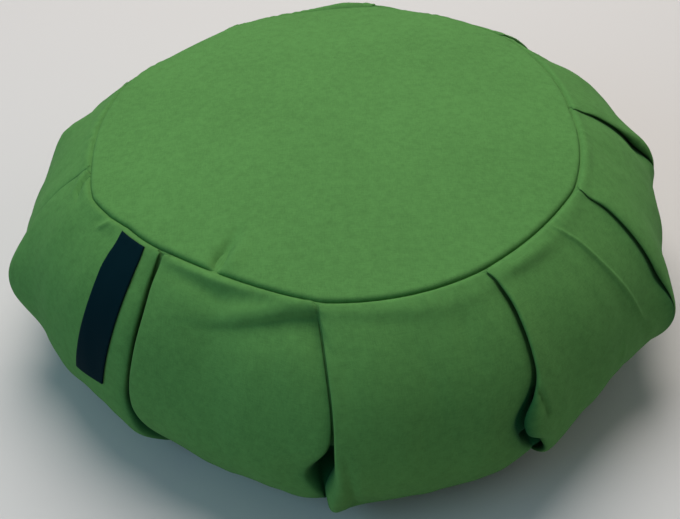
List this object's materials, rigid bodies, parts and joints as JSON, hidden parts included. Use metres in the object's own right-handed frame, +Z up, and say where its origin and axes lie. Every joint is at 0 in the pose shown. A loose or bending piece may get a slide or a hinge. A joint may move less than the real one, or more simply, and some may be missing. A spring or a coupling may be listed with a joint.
{
  "type": "zafu meditation cushion",
  "caption": "Round pleated meditation cushion in green cotton: firm filling, knife-pleated side band, crowned top panel and a bare tape on its side.",
  "frame": {"origin": "middle of the flat base, on the floor plane", "axes": "+Z up through the crown of the top panel, -Y towards the front, where the tape is at the left, +X to the right"},
  "size_m": [0.3398, 0.338, 0.125],
  "materials": {
    "cotton_cloth": "matt twill weave",
    "tape_cloth": "smooth woven tape"
  },
  "bodies": {
    "root": {"cushion_body": "cotton_cloth", "top_panel": "cotton_cloth", "base_panel": "cotton_cloth", "side_tape": "tape_cloth"}
  },
  "joints": []
}
